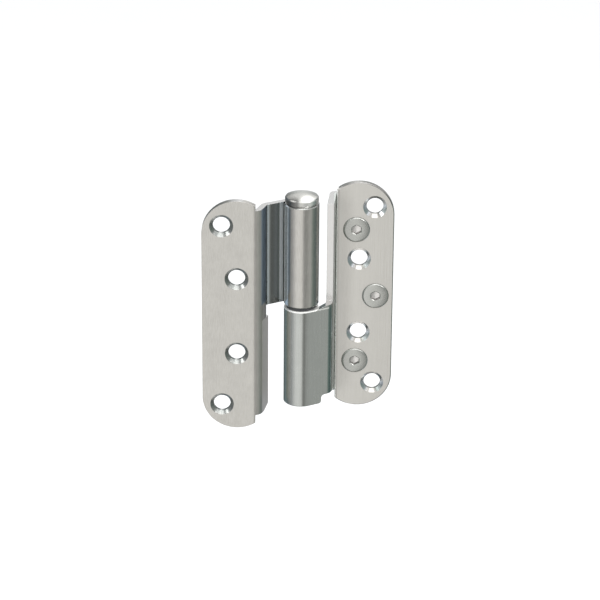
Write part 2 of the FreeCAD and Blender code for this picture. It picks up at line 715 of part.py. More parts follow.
# End cap: domed button with a plug pressed into the upper knuckle
end_cap = new_body("end_cap")
cap_seat = DOOR_ARM_TOP
cap_plug = size("knuckle_bore") / 2 - play
cap_rim = size("cap_rim") / 2
rim_low = cap_seat + size("cap_neck_height")
rim_top = rim_low + size("cap_rim_height")
dome = size("cap_dome")
sphere = (cap_rim**2 + dome**2) / (2 * dome)
cap_profile = sketch_on(end_cap, "cap_profile", "XZ_Plane")
cap_points = [
    Vector(cap_rim, rim_top, 0),
    Vector(0, rim_top + dome, 0),
    Vector(0, cap_seat - size("cap_plug_depth"), 0),
    Vector(cap_plug, cap_seat - size("cap_plug_depth"), 0),
    Vector(cap_plug, cap_seat, 0),
    Vector(size("cap_neck") / 2, cap_seat, 0),
    Vector(size("cap_neck") / 2, rim_low - size("cap_undercut"), 0),
    Vector(cap_rim, rim_low, 0),
]
cap_edges = [arc(Vector(0, rim_top + dome - sphere, 0), cap_points[0], cap_points[1], True)]
cap_edges += [line(a, b) for a, b in zip(cap_points[1:], cap_points[2:] + cap_points[:1])]
add_loop(cap_profile, cap_edges)
cap_turned = end_cap.newObject("PartDesign::Revolution", "cap_blank")
cap_turned.Profile = cap_profile
cap_turned.ReferenceAxis = (cap_profile, ["V_Axis"])
cap_turned.Angle = 360.0
doc.recompute()
break_ends(end_cap, "cap_edge", cap_rim, [rim_top])

# Check every feature, then write each piece to its own file
pieces = [door_leaf, frame_leaf, face_plate, *clamp_screws, hinge_pin, bearing_bush, end_cap]
doc.recompute()
for item in doc.Objects:
    if "Invalid" in item.State or "Error" in item.State:
        raise RuntimeError(f"{item.Label} failed: {item.State}")
os.makedirs("parts", exist_ok=True)
for piece in pieces:
    shape = piece.Shape
    if shape.isNull() or not shape.isValid() or len(shape.Solids) != 1:
        raise RuntimeError(f"{piece.Label} is not one sound solid")
    shape.exportStep(f"parts/{piece.Label}.step")
    box = shape.BoundBox
    print(f"{piece.Label}: {shape.Volume:.0f} mm3, x {box.XMin:.1f}..{box.XMax:.1f}, ", end="")
    print(f"y {box.YMin:.1f}..{box.YMax:.1f}, z {box.ZMin:.1f}..{box.ZMax:.1f}")
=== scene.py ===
# %% [markdown]
# # A cranked lift-off door hinge
#
# The hinge is two folded steel leaves that turn on one pin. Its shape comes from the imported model, which
# is loaded here as a fixed frame. Everything below gives that shape its zinc finish, a few turned and
# threaded details, a studio and a camera. The frame is in metres, with the origin on the pin's axis.

# %% Load the frame
import math

import bmesh
import bpy
from mathutils import Matrix, Vector


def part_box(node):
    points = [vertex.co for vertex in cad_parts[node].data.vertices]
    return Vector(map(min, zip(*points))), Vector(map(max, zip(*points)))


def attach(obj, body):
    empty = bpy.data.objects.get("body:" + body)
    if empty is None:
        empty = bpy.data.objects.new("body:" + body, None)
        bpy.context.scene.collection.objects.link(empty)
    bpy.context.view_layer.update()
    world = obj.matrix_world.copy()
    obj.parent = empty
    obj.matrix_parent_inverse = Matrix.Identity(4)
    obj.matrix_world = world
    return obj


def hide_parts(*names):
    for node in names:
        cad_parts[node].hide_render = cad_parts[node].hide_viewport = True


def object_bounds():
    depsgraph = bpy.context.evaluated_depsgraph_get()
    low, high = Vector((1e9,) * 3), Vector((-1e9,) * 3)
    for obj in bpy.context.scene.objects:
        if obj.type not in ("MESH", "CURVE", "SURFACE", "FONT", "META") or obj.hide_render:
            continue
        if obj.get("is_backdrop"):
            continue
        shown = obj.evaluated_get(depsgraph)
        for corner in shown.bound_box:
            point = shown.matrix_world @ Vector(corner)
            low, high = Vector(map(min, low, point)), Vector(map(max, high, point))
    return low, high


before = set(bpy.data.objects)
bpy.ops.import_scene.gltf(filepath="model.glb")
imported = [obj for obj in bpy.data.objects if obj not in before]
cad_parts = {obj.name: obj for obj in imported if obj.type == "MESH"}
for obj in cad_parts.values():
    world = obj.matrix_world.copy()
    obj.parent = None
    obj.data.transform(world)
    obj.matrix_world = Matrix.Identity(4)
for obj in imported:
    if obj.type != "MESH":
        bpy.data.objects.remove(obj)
cad_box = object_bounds()
MM = 0.001
print("pieces from the model:", sorted(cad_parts))
print("size in mm:", [round((b - a) / MM, 1) for a, b in zip(*cad_box)])

# %% [markdown]
# ## Tools for finishes
#
# Every finish here is a small network of shader nodes: something is measured on the surface, shaped by a
# little arithmetic, and mixed into the colour or the roughness. Such networks could be wired by hand for
# each piece, but the same few joints come back all the time, so each gets a short helper with a plain name.

# %% Helpers for shader nodes
MIX_SOCKETS = {"RGBA": (6, 7, 2), "FLOAT": (2, 3, 0)}  # where a Mix node has its two inputs and its result


def link(tree, source, target):
    """Joins one node's output to another node's input."""
    tree.links.new(source, target)


def feed(tree, value, socket):
    """Gives an input its value, which is another node's output or a plain number or colour."""
    if isinstance(value, bpy.types.NodeSocket):
        link(tree, value, socket)
    else:
        socket.default_value = value


def node(tree, kind, **inputs):
    """A shader node with its sockets set by name."""
    made = tree.nodes.new(kind)
    for name, value in inputs.items():
        made.inputs[name.replace("_", " ")].default_value = value
    return made


def computed(tree, operation, *values, kind="ShaderNodeMath"):
    """The result of some arithmetic on outputs and plain numbers."""
    made = tree.nodes.new(kind)
    made.operation = operation
    for value, socket in zip(values, made.inputs):
        feed(tree, value, socket)
    return made.outputs["Value" if operation == "LENGTH" else 0]


def ranged(tree, value, from_low, from_high, to_low=0.0, to_high=1.0):
    """Maps one range of numbers onto another, and holds still beyond its ends."""
    made = node(tree, "ShaderNodeMapRange", From_Min=from_low, From_Max=from_high, To_Min=to_low,
                To_Max=to_high)
    link(tree, value, made.inputs["Value"])
    return made.outputs["Result"]


def mixed(tree, kind, amount, first, second, way="MIX"):
    """Mixes two colours or two numbers."""
    made = tree.nodes.new("ShaderNodeMix")
    made.data_type = kind
    made.blend_type = way
    first_socket, second_socket, result = MIX_SOCKETS[kind]
    feed(tree, amount, made.inputs["Factor"])
    feed(tree, first, made.inputs[first_socket])
    feed(tree, second, made.inputs[second_socket])
    return made.outputs[result]


def ramp(tree, value, stops):
    """Turns a number into a colour, through stops of (number, colour) in rising order."""
    made = tree.nodes.new("ShaderNodeValToRGB")
    elements = made.color_ramp.elements
    while len(elements) < len(stops):
        elements.new(0.5)
    for element, (position, colour) in zip(elements, stops):
        element.position = position
        element.color = (*colour, 1)
    link(tree, value, made.inputs["Fac"])
    return made.outputs["Color"]


# %% Where a spot lies and which way it faces


def place_on(tree):
    """The spot's place in the piece's own metres."""
    return tree.nodes.new("ShaderNodeTexCoord").outputs["Object"]


def parts_of(tree, vector):
    """X, Y and Z of a vector, by those names."""
    made = tree.nodes.new("ShaderNodeSeparateXYZ")
    link(tree, vector, made.inputs[0])
    return made.outputs


def facing_on(tree):
    """X, Y and Z of the direction that the true surface faces."""
    return parts_of(tree, tree.nodes.new("ShaderNodeNewGeometry").outputs["True Normal"])


def new_material(name, empty=True):
    """A material that works with nodes, and its node tree."""
    material = bpy.data.materials.new(name)
    material.use_nodes = True
    if empty:
        material.node_tree.nodes.clear()
    return material, material.node_tree


# %% [markdown]
# ## Bright zinc on rolled sheet
#
# Zinc plating is a thin bright metal coat, so the shader is all metal: its colour is what it reflects.
# Three things keep it from looking like a mirror. The sheet was rolled, which leaves very fine lines along
# one direction. The bath leaves faint cloudy patches, where the coat is a little rougher. And stamped
# edges are never razor sharp. One function can hold all three, because every piece was plated in the same
# bath and only the strength of each effect differs.

# %% Rolling lines and clouds
NOISE_LOW, NOISE_HIGH = 0.3, 0.7  # nearly all of Blender's noise lies between these
NOISE_ROUGHNESS = 0.6
LINE_FINENESS = 2600.0  # grains per metre, before the stretch
CLOUD_FINENESS = 160.0
LINE_SHARE = 0.6  # how much of the mottling comes from the lines, the rest from the clouds
EVENLY = (1.0, 1.0, 1.0)
UP_THE_PIN = (1.0, 1.0, 0.03)  # grains about thirty times as long as wide


def noise_along(tree, place, stretch, fine, detail=3.0):
    """Noise whose grains are stretched: small numbers in stretch make them long."""
    mapping = tree.nodes.new("ShaderNodeMapping")
    mapping.inputs["Scale"].default_value = stretch
    link(tree, place, mapping.inputs["Vector"])
    noise = node(tree, "ShaderNodeTexNoise", Scale=fine, Detail=detail, Roughness=NOISE_ROUGHNESS)
    link(tree, mapping.outputs["Vector"], noise.inputs["Vector"])
    return noise.outputs["Fac"]


def spread(tree, noise, low, high):
    """Turns noise into numbers from low to high."""
    return ranged(tree, noise, NOISE_LOW, NOISE_HIGH, low, high)


print("rolling lines", round(1000 / LINE_FINENESS, 2), "mm apart")

# %% [markdown]
# ## Hollows and cut edges
#
# In a hollow the metal mostly mirrors more metal, and each mirroring costs light, so a hollow is darker and
# a little greener than an open face. Reflections alone could do this, with many bounces and a long wait.
# Here the coat asks how shut in a spot is and takes its shade from that. The edges that the shears cut are
# rough and pale. At a leaf's ends they are the only faces that look straight up or down the pin, so the
# way that the surface faces finds them.

# %% Hollows and cut edges
HOLLOW_REACH = 10.0  # mm within which other metal shuts a spot in
HOLLOW_SAMPLES = 6
HOLLOW_STOPS = (0.24, 0.5, 0.82, 0.96)  # openness where the shade starts, is full, fades and is gone
HOLLOW_TINT = (0.42, 0.48, 0.50)
OPEN_TINT = (0.8, 0.8, 0.8)  # the same on flat and turned parts, which hardly mirror themselves
NO_TINT = (1, 1, 1)
EDGE_TINT = (0.74, 0.73, 0.72)
EDGE_FROM, EDGE_FULL = 0.97, 0.99  # how straight up or down a cut edge faces


def shut_in_shade(tree, hollow):
    """White in the open and the hollow's tint where other metal stands near."""
    shut_in = node(tree, "ShaderNodeAmbientOcclusion", Distance=HOLLOW_REACH * MM)
    shut_in.samples = HOLLOW_SAMPLES
    tints = (NO_TINT, hollow, hollow, NO_TINT)
    return ramp(tree, shut_in.outputs["AO"], list(zip(HOLLOW_STOPS, tints)))


def cut_edges(tree, colour):
    """Lightens the colour where the true surface faces straight up or down, along the sheet's cut edges."""
    upright = computed(tree, "ABSOLUTE", facing_on(tree)["Z"])
    sharp = ranged(tree, upright, EDGE_FROM, EDGE_FULL)
    return mixed(tree, "RGBA", sharp, colour, (*EDGE_TINT, 1))


print("hollows reach", HOLLOW_REACH, "mm")

# %% A maker of zinc finishes
EDGE_SAMPLES = 4


def zinc(name, tint, rough, lines=UP_THE_PIN, line_depth=0.02, clouds=0.05, edge=0.25, hollow=HOLLOW_TINT,
         sheared=False):
    """Zinc plating: lines is the stretch of the rolling marks, line_depth and edge rounding are in mm.

    rough is the lowest and the highest roughness, clouds the strength of the mottling, hollow the tint of
    shut in places. sheared brightens the cut edges of the sheet.
    """
    material, tree = new_material(name)
    shader = node(tree, "ShaderNodeBsdfPrincipled", Metallic=1.0)
    output = tree.nodes.new("ShaderNodeOutputMaterial")
    link(tree, shader.outputs["BSDF"], output.inputs["Surface"])

    place = place_on(tree)
    rolled = noise_along(tree, place, lines, LINE_FINENESS)
    cloud = noise_along(tree, place, EVENLY, CLOUD_FINENESS, detail=4.0)
    mottle = mixed(tree, "FLOAT", LINE_SHARE, cloud, rolled)
    darker = [c * (1 - clouds) for c in tint]
    lighter = [min(1.0, c * (1 + clouds)) for c in tint]
    coat = ramp(tree, mottle, [(NOISE_LOW, darker), (NOISE_HIGH, lighter)])
    coat = mixed(tree, "RGBA", 1.0, coat, shut_in_shade(tree, hollow), way="MULTIPLY")
    if sheared:
        coat = cut_edges(tree, coat)
    link(tree, coat, shader.inputs["Base Color"])
    link(tree, spread(tree, mottle, *rough), shader.inputs["Roughness"])

    softened = node(tree, "ShaderNodeBevel", Radius=edge * MM)
    softened.samples = EDGE_SAMPLES
    bump = node(tree, "ShaderNodeBump", Strength=1.0, Distance=line_depth * MM)
    link(tree, rolled, bump.inputs["Height"])
    link(tree, softened.outputs["Normal"], bump.inputs["Normal"])
    link(tree, bump.outputs["Normal"], shader.inputs["Normal"])
    return material


def finish_with(obj, material):
    """Gives every face of a piece that material, in the slots it already has."""
    if not obj.material_slots:
        obj.data.materials.append(material)
    for slot in obj.material_slots:
        slot.material = material
    print(obj.name, "finished with", material.name)


# %% [markdown]
# ## Dull folds and painted light along a sheet
#
# The outside of a fold is stretched and goes dull. Light and shade that run along the pin are painted into
# the zinc's colour as well: pale lines of painted highlight and painted reflection beside a knuckle and along
# its upper edge, and painted shade and dark reflections in folds and corners. Such a mark could be painted on
# an image, but it runs straight along the pin here, so limits on place and on the way the surface faces are
# enough to say where it is.

# %% A maker of marks
FACING_SOFTNESS = 0.04


def within(tree, value, low, high, soft):
    """1 where the value lies from low to high, falling to 0 over soft on both sides."""
    return times(tree, ranged(tree, value, low - soft, low), ranged(tree, value, high + soft, high))


def times(tree, one, two):
    """The product of two outputs."""
    return computed(tree, "MULTIPLY", one, two)


def patch(material, tint=None, rough=None, soft=0.1, **limits):
    """Another tint or roughness in one place of a piece.

    x, y and z limit the place in mm, and nx, ny and nz limit which way its true surface faces.
    """
    tree = material.node_tree
    shader = next(n for n in tree.nodes if n.type == "BSDF_PRINCIPLED")
    spot = parts_of(tree, place_on(tree))
    facing = facing_on(tree)
    mask = None
    for name, (low, high) in limits.items():
        if name.startswith("n"):
            one = within(tree, facing[name[1].upper()], low, high, FACING_SOFTNESS)
        else:
            one = within(tree, spot[name.upper()], low * MM, high * MM, soft * MM)
        mask = one if mask is None else times(tree, mask, one)
    for socket, kind, value in (("Base Color", "RGBA", tint), ("Roughness", "FLOAT", rough)):
        if value is not None:
            value = (*value, 1) if kind == "RGBA" else value
            before = shader.inputs[socket].links[0].from_socket
            link(tree, mixed(tree, kind, mask, before, value), shader.inputs[socket])


def add_marks(material, marks):
    """Puts one mark after another on a material, each over the ones before it."""
    for mark in marks:
        patch(material, **mark)
    print(material.name, "has", len(marks), "marks")


# %% [markdown]
# ## The door leaf
#
# The left leaf is the warmest in tint. Its arm carries the upper knuckle. Up the arm runs a nearly black band
# of painted dark reflection between pale lines of painted highlight and reflection, two of them beside the
# knuckle, and the lower flange's side and the fold before it get a painted highlight and painted bluish
# shade.
# The limits below are read off the folded profile, in mm: x to the right of the pin's axis, and z up from the
# plates' middle.

# %% Plate the door leaf
WARM_ZINC = (0.57, 0.555, 0.525)
SHORT_GRAINS = (1.0, 1.0, 0.1)  # ten times as long as wide
UPPER_ARM = (2.4, 60)  # mm of height that the upper arm and knuckle take up, and past their end
FORWARDS = (-1.1, -0.3)  # any surface that faces forwards, which is towards -Y
DOOR_LEAF_DULLNESS_AND_PAINTED_LIGHT = [
    # the stretched outside of the folds
    dict(rough=0.42, x=(-30, -15.8), nx=(0.2, 1.1)),
    # the side of the straight lower flange: dull, and pale from a painted highlight
    dict(tint=(0.87, 0.84, 0.82), rough=0.45, z=(-60, -3.2), nx=(0.9, 1.1)),
    # painted bluish shade along the fold between plate and flange
    dict(tint=(0.30, 0.37, 0.45), x=(-17.2, -16.1), z=(5, 60), nx=(0.5, 1.1), soft=0.8),
    # the arm's painted light: a first pale highlight line, a black band of painted dark reflection, and two
    # pale lines of painted reflection beside the knuckle
    dict(tint=(0.52, 0.56, 0.58), x=(-15.1, -14.4), z=UPPER_ARM, ny=FORWARDS),
    dict(tint=(0.16, 0.168, 0.163), x=(-13.6, -10.6), z=UPPER_ARM, ny=FORWARDS, soft=0.5),
    dict(tint=(0.92, 0.97, 1.0), rough=0.4, x=(-9.8, -8.2), z=UPPER_ARM, ny=FORWARDS),
    dict(tint=(0.88, 0.94, 1.0), x=(-7.0, -5.9), z=UPPER_ARM, ny=FORWARDS, soft=0.4),
]
leaf_zinc = zinc("zinc_rolled_sheet", WARM_ZINC, rough=(0.18, 0.26), lines=SHORT_GRAINS, clouds=0.1,
                 sheared=True)
add_marks(leaf_zinc, DOOR_LEAF_DULLNESS_AND_PAINTED_LIGHT)
finish_with(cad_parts["door_leaf"], leaf_zinc)

# %% [markdown]
# ## The face plate
#
# The round-ended plate on the right is the palest and smoothest piece. Light and shade are painted on it: a
# pale, a little blue painted reflection on the left and right flanks of its countersinks, a painted highlight
# and a thin line of painted shade at its inner edge, and painted shade on the bevel round its upper end.
# Lighting alone could draw these, but then a lamp placed for one would change the others, so each is a
# painted mark with limits of its own.

# %% Plate the face plate
PALE_ZINC = (0.61, 0.595, 0.565)
STRAIGHT_FORWARDS = (-1.1, -0.98)
# the countersinks' part of the plate, with the tint of their painted reflection
COUNTERSUNK = dict(tint=(0.72, 0.75, 0.78), x=(20, 38), z=(-48.6, 48.6))  # the holes' part of the plate
FLANK = (-0.8, -0.6)  # how far forwards the flank of a countersink faces
FACE_PLATE_PAINTED_LIGHT = [
    # a painted highlight on the inner edge's side, and a thin line of painted shade on the front beside it
    dict(tint=(1.0, 1.0, 0.98), rough=0.8, x=(15.0, 16.2), nx=(-1.1, -0.4)),
    dict(tint=(0.42, 0.41, 0.39), x=(16.05, 16.6), ny=STRAIGHT_FORWARDS, soft=0.2),
    # a pale bluish painted reflection on the countersinks' left and right flanks
    dict(**COUNTERSUNK, nx=(0.4, 0.8), ny=FLANK),
    dict(**COUNTERSUNK, nx=(-0.8, -0.4), ny=FLANK),
    # painted shade on the bevel round the upper end
    dict(tint=(0.3, 0.295, 0.285), rough=0.3, z=(44.0, 60), ny=(-0.9, -0.5), nz=(0.2, 0.9)),
]
face_zinc = zinc("zinc_face_plate", PALE_ZINC, rough=(0.13, 0.2), line_depth=0.012, clouds=0.06,
                 hollow=OPEN_TINT)
add_marks(face_zinc, FACE_PLATE_PAINTED_LIGHT)
finish_with(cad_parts["face_plate"], face_zinc)

# %% [markdown]
# ## The frame leaf and the pin
#
# The right leaf is folded sheet too, cooler in tint, and carries the lower knuckle. Its light and shade are
# painted as well: painted olive shade on the knuckle's left, thin lines of painted shade where it runs into
# the arm and on the fold to the flange, and painted highlights on the flange's strip beside the face plate
# and along the upper edge. The pin is ground steel without rolling lines and shows only when the door is
# lifted off.

# %% Plate the frame leaf and the pin
COOL_ZINC = (0.54, 0.555, 0.535)
GROUND_STEEL = (0.5, 0.5, 0.5)
LOWER_ARM = (-60, 0.8)  # mm of height that the lower arm and knuckle take up, and past their end
FRAME_LEAF_EDGES_AND_PAINTED_LIGHT = [
    # the flange's upper cut edge
    dict(tint=EDGE_TINT, x=(9.5, 14.8), ny=STRAIGHT_FORWARDS),
    # painted shade on the knuckle's left side, and a line of painted shade between knuckle and arm
    dict(tint=(0.35, 0.38, 0.33), x=(-9.0, -6.4), z=LOWER_ARM, nx=(-1.1, -0.3), soft=1.5),
    dict(tint=(0.38, 0.39, 0.37), x=(1.2, 1.7), z=LOWER_ARM, ny=(-1.1, -0.8), soft=0.6),
    # painted shade on the outside of the fold between arm and flange
    dict(tint=(0.36, 0.43, 0.41), x=(12.5, 14.2), z=LOWER_ARM, soft=0.3),
    # a painted highlight on the flange's strip beside the face plate, which is rougher too
    dict(tint=(0.8, 0.83, 0.8), rough=0.45, x=(14.3, 15.8), y=(4.2, 17.3), nx=(-0.2, 1.1)),
    # a painted highlight along the upper edge of arm and knuckle
    dict(tint=(1.0, 1.0, 0.98), rough=0.6, x=(-9.0, 12.5), z=(0.4, 1.0)),
]
barrel_zinc = zinc("zinc_folded_frame_leaf", COOL_ZINC, rough=(0.2, 0.3), clouds=0.1, sheared=True)
add_marks(barrel_zinc, FRAME_LEAF_EDGES_AND_PAINTED_LIGHT)
finish_with(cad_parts["frame_leaf"], barrel_zinc)
pin_steel = zinc("ground_pin_steel", GROUND_STEEL, rough=(0.25, 0.32), lines=EVENLY, edge=0.1)
finish_with(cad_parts["hinge_pin"], pin_steel)

# %% [markdown]
# ## Turned parts
#
# The cap was turned on a lathe, so its fine marks run in rings round its own axis. Rings need no image:
# the distance from the axis, fed to a wave, gives circles wherever the surface faces along it. The screw
# heads further down were turned too and use the same function with another axis.

# %% Rings of a lathe


def turned_zinc(name, tint, centre, axis, rough, pitch, depth):
    """Zinc over lathe rings about an axis through centre; the rings' pitch and depth are in mm."""
    material = zinc(name, tint, rough=rough, lines=EVENLY, line_depth=0.004, clouds=0.04, edge=0.12,
                    hollow=OPEN_TINT)
    tree = material.node_tree
    bump = next(n for n in tree.nodes if n.type == "BUMP")
    shader = next(n for n in tree.nodes if n.type == "BSDF_PRINCIPLED")
    away = computed(tree, "SUBTRACT", place_on(tree), centre, kind="ShaderNodeVectorMath")
    across = [1 - abs(a) for a in axis]
    flat = computed(tree, "MULTIPLY", away, across, kind="ShaderNodeVectorMath")
    reach = computed(tree, "LENGTH", flat, kind="ShaderNodeVectorMath")
    wave = computed(tree, "SINE", computed(tree, "MULTIPLY", reach, 2 * math.pi / (pitch * MM)))
    rings = node(tree, "ShaderNodeBump", Strength=1.0, Distance=depth * MM)
    link(tree, wave, rings.inputs["Height"])
    link(tree, bump.outputs["Normal"], rings.inputs["Normal"])
    link(tree, rings.outputs["Normal"], shader.inputs["Normal"])
    return material


# %% Plate the cap
CAP_TINT = (0.6, 0.6, 0.57)
CAP_RIM = (50.5, 53.4)  # mm of height that the cap's rim takes up
CAP_PAINTED_LIGHT = [
    # painted shade on the rim's left and a painted highlight on its right
    dict(tint=(0.24, 0.24, 0.23), x=(-8, -2.0), z=CAP_RIM, ny=(-1.1, 0.2), soft=1.5),
    dict(tint=(1.0, 1.0, 0.97), x=(1.5, 5.5), z=CAP_RIM, ny=FORWARDS, soft=1.5),
]
cap_zinc = turned_zinc("zinc_turned_cap", CAP_TINT, centre=(0, 0, 0), axis=(0, 0, 1), rough=(0.24, 0.34),
                       pitch=0.35, depth=0.0012)
add_marks(cap_zinc, CAP_PAINTED_LIGHT)
finish_with(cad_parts["end_cap"], cap_zinc)

# %% [markdown]
# ## The bush
#
# Between pin and upper knuckle sits a sleeve of dark bearing plastic. Its flange makes the black line between
# the knuckles, so its dark colour also stands for the shade in the gap there. Plastic is no metal, so it
# starts from the plain shader and only gets a faint grain in its colour and its roughness.

# %% Bearing plastic for the bush
GRAIN_FINENESS = 900.0
# dark plastic, whose darkness also plays the shade in the gap between the knuckles
PLASTIC_DARKEST, PLASTIC_LIGHTEST = (0.03, 0.032, 0.034), (0.06, 0.062, 0.064)
plastic, tree = new_material("dark_bearing_plastic_and_gap_shade", empty=False)
shader = tree.nodes["Principled BSDF"]
grain = noise_along(tree, place_on(tree), EVENLY, GRAIN_FINENESS)
link(tree, ramp(tree, grain, [(0.0, PLASTIC_DARKEST), (1.0, PLASTIC_LIGHTEST)]), shader.inputs["Base Color"])
link(tree, spread(tree, grain, 0.45, 0.6), shader.inputs["Roughness"])
finish_with(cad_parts["bearing_bush"], plastic)

# %% [markdown]
# ## Clamp screws with a real thread
#
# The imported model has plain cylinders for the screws' shanks. From behind, the ends of the three screws
# show past the rear plate, so each screw is made again here with its thread. A thread is one ridge wound
# round a cylinder: the surface is a grid of points, one column per angle, and each column climbs a little
# so that after a full turn it has risen by one pitch.

# %% Sizes of a clamp screw, in mm
HEAD_RADIUS = 5.9
SHANK_RADIUS = 2.95
LAND = 0.6  # height of the head's straight rim
LENGTH = 8.0
TIP_CHAMFER = 0.5
TIP_RADIUS = SHANK_RADIUS - 0.75
TIP_MIDDLE = 0.4  # radius of the small flat that closes the tip
THREAD_PITCH = 1.0
THREAD_DEPTH = 0.5
CREST_SHARE, FLANK_SHARE = 0.12, 0.76  # of half a pitch
SOCKET_FLATS = 4.0
SOCKET_DEPTH = 2.3
STEPS_ROUND = 60
STEPS_PER_PITCH = 6
CONE_END = LAND + HEAD_RADIUS - SHANK_RADIUS
# Rings from the socket's floor over the head to the shank: (share of the hexagon, more radius, depth)
HEAD_RINGS = [
    (0.0, 0.9, SOCKET_DEPTH + 0.35),
    (0.97, 0.0, SOCKET_DEPTH),
    (1.0, 0.0, SOCKET_DEPTH - 0.1),
    (1.0, 0.0, 0.25),
    (0.5, 1.35, 0.0),
    (0.0, HEAD_RADIUS - 0.9, 0.0),
    (0.0, HEAD_RADIUS - 0.5, 0.1),
    (0.0, HEAD_RADIUS - 0.16, 0.32),
    (0.0, HEAD_RADIUS, 0.55),
    (0.0, HEAD_RADIUS, LAND),
    (0.0, SHANK_RADIUS, CONE_END),
]
print("head of", len(HEAD_RINGS), "rings, shank from", round(CONE_END, 2), "to", LENGTH, "mm")

# %% Screw profile and thread


def thread_radius(height):
    """Radius of the threaded shank where height is measured along the screw in pitches."""
    into = abs((height % 1.0) - 0.5) * 2
    return SHANK_RADIUS - THREAD_DEPTH * min(1.0, max(0.0, (into - CREST_SHARE) / FLANK_SHARE))


def hexagon_reach(angle, flats):
    """Distance from the centre to a hexagon's side in that direction."""
    return flats / 2 / math.cos((angle + math.pi / 6) % (math.pi / 3) - math.pi / 6)


def plain_ring(share, more, depth):
    """One ring without thread, as a function from angle to radius and depth."""
    return lambda angle: (share * hexagon_reach(angle, SOCKET_FLATS) + more, depth)


def thread_ring(depth, run_out):
    """One ring of the thread, which rises to its full depth as run_out goes from 0 to 1."""
    def ring(angle):
        cut = SHANK_RADIUS - thread_radius(depth / THREAD_PITCH + angle / (2 * math.pi))
        return (SHANK_RADIUS - cut * run_out, depth)
    return ring


def screw_rings():
    """All rings of a screw, from the socket's floor over the head to the tip."""
    rings = [plain_ring(*ring) for ring in HEAD_RINGS]
    span = LENGTH - TIP_CHAMFER - CONE_END
    count = int(span / THREAD_PITCH * STEPS_PER_PITCH)
    for i in range(count + 1):
        rings.append(thread_ring(CONE_END + span * i / count, min(1.0, i / STEPS_PER_PITCH)))
    rings.append(plain_ring(0.0, TIP_RADIUS, LENGTH))
    rings.append(plain_ring(0.0, TIP_MIDDLE, LENGTH))
    return rings


print("a screw has", len(screw_rings()), "rings of", STEPS_ROUND, "points")

# %% Make a screw


def new_object(name, mesh):
    """An object in the scene from a finished bmesh, which is freed."""
    data = bpy.data.meshes.new(name)
    mesh.to_mesh(data)
    mesh.free()
    made = bpy.data.objects.new(name, data)
    bpy.context.collection.objects.link(made)
    return made


def make_screw(name):
    """A screw in the place of that node, with its axis along Y and its head towards -Y."""
    low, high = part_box(name)
    centre = (low + high) / 2
    mesh = bmesh.new()
    rows = []
    for ring in screw_rings():
        row = []
        for step in range(STEPS_ROUND):
            angle = 2 * math.pi * step / STEPS_ROUND
            radius, depth = ring(angle)
            spot = Vector((radius * math.cos(angle) * MM, depth * MM, radius * math.sin(angle) * MM))
            row.append(mesh.verts.new(spot + Vector((centre.x, low.y, centre.z))))
        rows.append(row)
    for one, two in zip(rows, rows[1:]):
        for step in range(STEPS_ROUND):
            after = (step + 1) % STEPS_ROUND
            mesh.faces.new((one[step], one[after], two[after], two[step]))
    mesh.faces.new(rows[0][::-1])
    mesh.faces.new(rows[-1])
    bmesh.ops.recalc_face_normals(mesh, faces=mesh.faces)
    return new_object(name + "_threaded", mesh)


def smooth_by_angle(piece, degrees):
    """Shades smooth across gentle edges only, as on a turned part."""
    for face in piece.data.polygons:
        face.use_smooth = True
    limit = math.radians(degrees)
    marked = bmesh.new()
    marked.from_mesh(piece.data)
    for edge in marked.edges:
        edge.smooth = len(edge.link_faces) == 2 and edge.calc_face_angle(0.0) < limit
    marked.to_mesh(piece.data)
    marked.free()


# %% [markdown]
# ## The screws in their places
#
# A real socket's floor catches the light and its walls stay dark. Both could be lit for that, but a socket
# is only 4 mm wide, so the floor gets a painted highlight and the walls painted shade: a paler and a darker
# zinc than the head.

# %% Put the threaded screws in their places
SCREWS = ("clamp_screw_top", "clamp_screw_middle", "clamp_screw_bottom")
SMOOTH_BELOW = 24  # degrees
SCREW_TINT = (0.53, 0.535, 0.51)
# painted light on the socket's floor and painted shade on its walls
PAINTED_LIGHT_FLOOR_TINT, PAINTED_SHADE_WALL_TINT = (0.86, 0.84, 0.82), (0.3, 0.29, 0.28)  # inside the socket
HEAD_SLOT, FLOOR_SLOT, WALL_SLOT = 0, 1, 2
SOCKET_REACH = 2.35  # mm, just past the hexagon's corners
SOCKET_MOUTH, SOCKET_FLOOR, SOCKET_END = 0.3, SOCKET_DEPTH - 0.15, SOCKET_DEPTH + 0.5  # mm of depth


def socket_zinc(name, tint):
    """Zinc for the inside of a socket, with no lines and no hollow shade of its own."""
    return zinc(name, tint, rough=(0.3, 0.4), lines=EVENLY, line_depth=0.002, clouds=0.03, edge=0.02,
                hollow=NO_TINT)


def socket_slot(depth, reach):
    """The material slot of a face at that depth and distance from the screw's axis, in mm."""
    if reach >= SOCKET_REACH or not SOCKET_MOUTH < depth < SOCKET_END:
        return HEAD_SLOT
    return FLOOR_SLOT if depth > SOCKET_FLOOR else WALL_SLOT


painted_light_floor_zinc = socket_zinc("zinc_socket_floor_painted_light", PAINTED_LIGHT_FLOOR_TINT)
painted_shade_wall_zinc = socket_zinc("zinc_socket_wall_painted_shade", PAINTED_SHADE_WALL_TINT)
for name in SCREWS:
    low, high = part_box(name)
    centre = (low + high) / 2
    screw = make_screw(name)
    smooth_by_angle(screw, SMOOTH_BELOW)
    finish_with(screw, turned_zinc("zinc_" + name, SCREW_TINT, centre=(centre.x, 0, centre.z), axis=(0, 1, 0),
                                   rough=(0.22, 0.32), pitch=0.3, depth=0.002))
    screw.data.materials.append(painted_light_floor_zinc)
    screw.data.materials.append(painted_shade_wall_zinc)
    for face in screw.data.polygons:
        away = face.center - centre
        face.material_index = socket_slot((face.center.y - low.y) / MM, away.xz.length / MM)
    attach(screw, "frame_side")
    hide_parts(name)
    print(screw.name, "has", len(screw.data.polygons), "faces")

